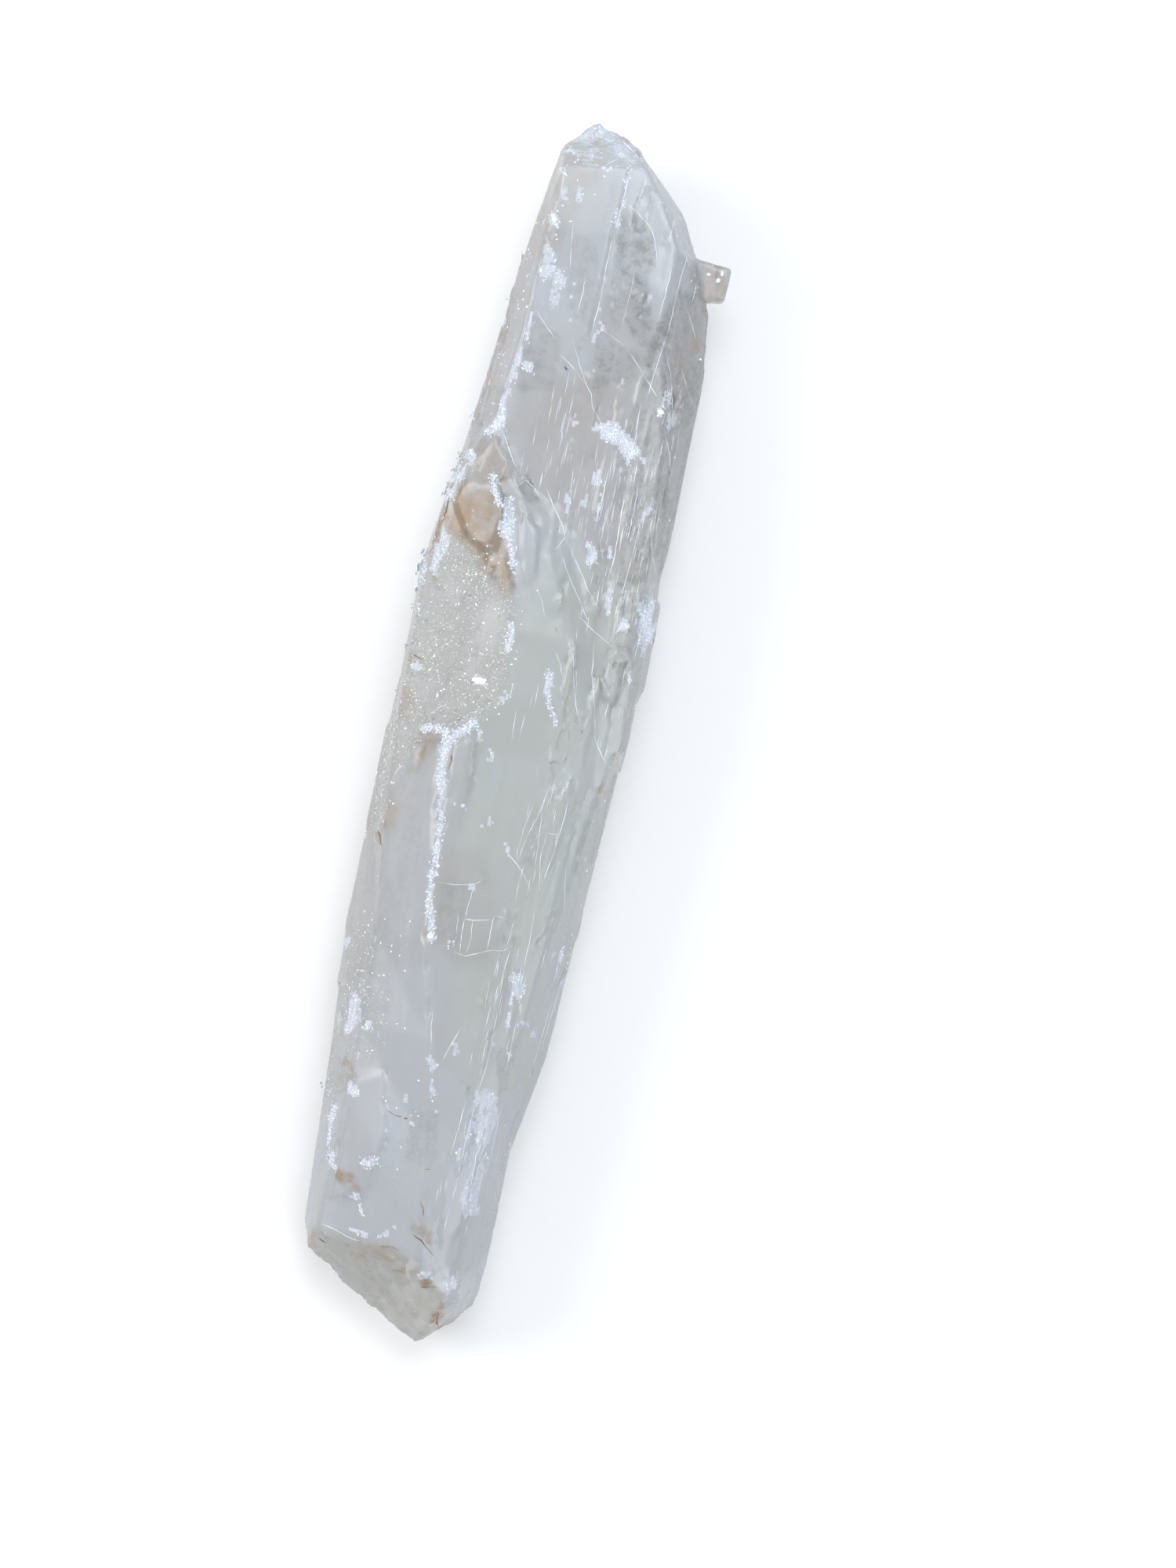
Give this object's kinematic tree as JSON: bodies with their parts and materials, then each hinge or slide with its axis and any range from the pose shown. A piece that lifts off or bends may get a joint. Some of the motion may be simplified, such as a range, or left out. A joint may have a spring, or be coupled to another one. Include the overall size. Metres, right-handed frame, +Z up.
{
  "type": "selenite crystal",
  "caption": "Long natural gypsum crystal lying down, a point at each end, with cleavage steps along its faces, sugary patches and crushed white edges.",
  "frame": {"origin": "on the flat that the crystal rests on, at half its length", "axes": "+Y along the crystal to its sharper point, +X to the right as seen from above, +Z up out of the face that shows"},
  "size_m": [0.0621, 0.2998, 0.0414],
  "materials": {
    "selenite": "translucent, silky along the cleavage, with sugary and chalk-white patches"
  },
  "bodies": {
    "root": {"selenite_crystal": "selenite"}
  },
  "joints": []
}
